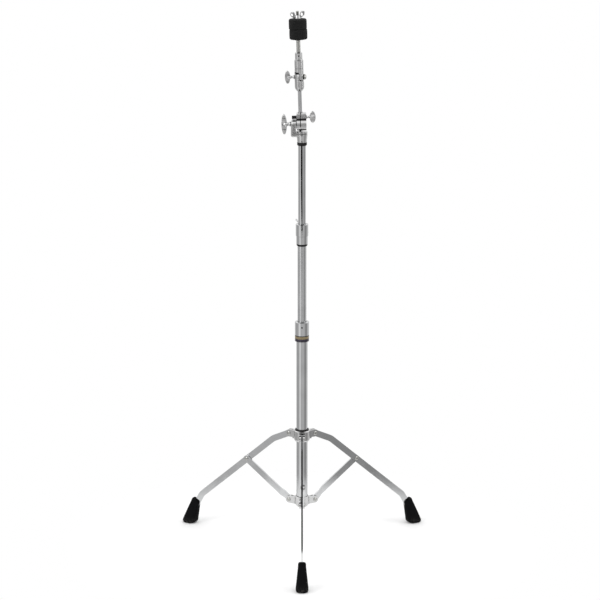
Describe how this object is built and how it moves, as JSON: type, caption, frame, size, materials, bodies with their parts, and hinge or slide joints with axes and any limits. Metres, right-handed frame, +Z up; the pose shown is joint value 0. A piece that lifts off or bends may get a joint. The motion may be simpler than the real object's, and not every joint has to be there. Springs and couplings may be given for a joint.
{
  "type": "cymbal boom stand",
  "caption": "Free-standing chrome cymbal stand with a folding flat-bar tripod, telescoping clamped mast, short tilting boom, cymbal tilter, felts and wing nut.",
  "frame": {"origin": "on the mast's axis at floor level, between the three feet", "axes": "+Z up along the mast; the front leg points along -Y; X to the right seen from the front"},
  "size_m": [0.6265, 0.5455, 1.3649],
  "materials": {
    "chrome": "bright chrome plate",
    "cast_chrome": "chrome on die casting, slightly soft",
    "steel": "zinc-plated steel",
    "rubber": "matt black moulded rubber",
    "black_nylon": "matt black nylon",
    "black_steel": "black oxide",
    "band": "printed gloss band, plain stripes",
    "felt": "dense black wool felt"
  },
  "bodies": {
    "base": {"base_tube": "chrome", "lower_hub": "chrome", "hub_pin": "steel", "hub_rivets": "steel", "lower_clamp": "chrome", "lower_clamp_band": "band", "lower_clamp_peg": "black_nylon"},
    "crown": {"leg_crown": "chrome", "crown_bushing": "black_nylon", "crown_rivets": "steel"},
    "crown_screw": {"crown_wing_screw": "cast_chrome"},
    "lower_screw": {"lower_clamp_wing_screw": "cast_chrome"},
    "lower_swivel": {"lower_bushing": "black_nylon"},
    "middle_mast": {"middle_tube": "chrome", "upper_clamp": "chrome", "upper_clamp_ring": "black_nylon", "upper_clamp_peg": "black_nylon"},
    "upper_screw": {"upper_clamp_wing_screw": "cast_chrome"},
    "upper_swivel": {"upper_bushing": "black_nylon"},
    "upper_mast": {"upper_tube": "chrome", "tilter_ring": "black_nylon", "tilter_base": "chrome"},
    "tilt_screw": {"tilt_wing_screw": "cast_chrome"},
    "boom_clamp": {"rod_clamp": "chrome", "tilt_friction_disc": "black_nylon", "rod_clamp_nut": "black_steel"},
    "clamp_screw": {"rod_clamp_wing_screw": "cast_chrome"},
    "boom_swivel": {"rod_liner": "black_nylon"},
    "boom_arm": {"boom_rod": "chrome", "boom_end_cap": "steel", "cymbal_tilter_base": "chrome"},
    "cymbal_head": {"cymbal_tilter_head": "chrome", "cymbal_tilter_washer": "black_nylon", "cymbal_tilter_nut": "steel", "post_holder": "chrome", "post_set_screw": "black_steel", "cymbal_post": "steel", "felt_sleeve": "black_nylon", "lower_felt": "felt", "upper_felt": "felt"},
    "head_screw": {"cymbal_tilter_wing_screw": "cast_chrome"},
    "top_nut": {"wing_nut": "cast_chrome"},
    "brace_1_link": {"brace_1": "chrome", "brace_rivet_1": "steel"},
    "leg_1_link": {"leg_1": "chrome", "rubber_foot_1": "rubber"},
    "brace_2_link": {"brace_2": "chrome", "brace_rivet_2": "steel"},
    "leg_2_link": {"leg_2": "chrome", "rubber_foot_2": "rubber"},
    "brace_3_link": {"brace_3": "chrome", "brace_rivet_3": "steel"},
    "leg_3_link": {"leg_3": "chrome", "rubber_foot_3": "rubber"}
  },
  "joints": [
    {"name": "leg_fold", "type": "hinge", "parent": "base", "child": "brace_1_link", "pos_m": [0.03031, 0.0175, 0.116], "axis": [0.5, -0.866, 0], "range_deg": [-20, 48]},
    {"name": "leg_1_swing", "type": "hinge", "parent": "brace_1_link", "child": "leg_1_link", "pos_m": [0.13987, 0.08075, 0.20452], "axis": [0.5, -0.866, 0], "range_deg": [-96, 40]},
    {"name": "brace_2_swing", "type": "hinge", "parent": "base", "child": "brace_2_link", "pos_m": [-0.03031, 0.0175, 0.116], "axis": [0.5, 0.866, 0], "range_deg": [-20, 48]},
    {"name": "leg_2_swing", "type": "hinge", "parent": "brace_2_link", "child": "leg_2_link", "pos_m": [-0.13987, 0.08075, 0.20452], "axis": [0.5, 0.866, 0], "range_deg": [-96, 40]},
    {"name": "brace_3_swing", "type": "hinge", "parent": "base", "child": "brace_3_link", "pos_m": [0, -0.035, 0.116], "axis": [-1, 0, 0], "range_deg": [-20, 48]},
    {"name": "leg_3_swing", "type": "hinge", "parent": "brace_3_link", "child": "leg_3_link", "pos_m": [0, -0.16151, 0.20452], "axis": [-1, 0, 0], "range_deg": [-96, 40]},
    {"name": "crown_rise", "type": "hinge", "parent": "leg_1_link", "child": "crown", "pos_m": [0.03031, 0.0175, 0.29303], "axis": [0.5, -0.866, 0], "range_deg": [-20, 48]},
    {"name": "crown_screw_turn", "type": "hinge", "parent": "crown", "child": "crown_screw", "pos_m": [0, 0.03, 0.29303], "axis": [0, 1, 0], "continuous": true},
    {"name": "lower_screw_turn", "type": "hinge", "parent": "base", "child": "lower_screw", "pos_m": [0, 0.03, 0.5765], "axis": [0, 1, 0], "continuous": true},
    {"name": "middle_mast_turn", "type": "hinge", "parent": "base", "child": "lower_swivel", "pos_m": [0, 0, 0.575], "axis": [0, 0, 1], "continuous": true},
    {"name": "middle_mast_slide", "type": "slide", "parent": "lower_swivel", "child": "middle_mast", "axis": [0, 0, 1], "range_m": [-0.19, 0.11]},
    {"name": "upper_screw_turn", "type": "hinge", "parent": "middle_mast", "child": "upper_screw", "pos_m": [0, 0.03, 0.8265], "axis": [0, 1, 0], "continuous": true},
    {"name": "upper_mast_turn", "type": "hinge", "parent": "middle_mast", "child": "upper_swivel", "pos_m": [0, 0, 0.82], "axis": [0, 0, 1], "continuous": true},
    {"name": "upper_mast_slide", "type": "slide", "parent": "upper_swivel", "child": "upper_mast", "axis": [0, 0, 1], "range_m": [-0.14, 0.13]},
    {"name": "boom_tilt", "type": "hinge", "parent": "upper_mast", "child": "boom_clamp", "pos_m": [0, 0, 1.09], "axis": [0.9996, 0, 0.0279], "range_deg": [0, 100]},
    {"name": "tilt_screw_turn", "type": "hinge", "parent": "upper_mast", "child": "tilt_screw", "pos_m": [0, 0, 1.09], "axis": [0.9996, 0, 0.0279], "continuous": true},
    {"name": "clamp_screw_turn", "type": "hinge", "parent": "boom_clamp", "child": "clamp_screw", "pos_m": [0.02956, 0.005, 1.10633], "axis": [0.9996, 0, 0.0279], "continuous": true},
    {"name": "boom_turn", "type": "hinge", "parent": "boom_clamp", "child": "boom_swivel", "pos_m": [-0.00398, 0.019, 1.09989], "axis": [-0.0279, 0, 0.9996], "continuous": true},
    {"name": "boom_slide", "type": "slide", "parent": "boom_swivel", "child": "boom_arm", "axis": [-0.0279, 0, 0.9996], "range_m": [-0.035, 0.045]},
    {"name": "cymbal_tilt", "type": "hinge", "parent": "boom_arm", "child": "cymbal_head", "pos_m": [-0.00685, 0.019, 1.20285], "axis": [0.9996, 0, 0.0279], "range_deg": [-80, 80]},
    {"name": "head_screw_turn", "type": "hinge", "parent": "cymbal_head", "child": "head_screw", "pos_m": [-0.00685, 0.019, 1.20285], "axis": [0.9996, 0, 0.0279], "continuous": true},
    {"name": "wing_nut_turn", "type": "hinge", "parent": "cymbal_head", "child": "top_nut", "pos_m": [-0.01096, 0.019, 1.3498], "axis": [-0.0279, 0, 0.9996], "continuous": true}
  ],
  "couplings": [
    {"joint": "leg_1_swing", "follows": "leg_fold", "ratio": -2},
    {"joint": "leg_2_swing", "follows": "leg_fold", "ratio": -2},
    {"joint": "brace_2_swing", "follows": "leg_fold", "ratio": 1},
    {"joint": "leg_3_swing", "follows": "leg_fold", "ratio": -2},
    {"joint": "brace_3_swing", "follows": "leg_fold", "ratio": 1},
    {"joint": "crown_rise", "follows": "leg_fold", "ratio": 1}
  ]
}
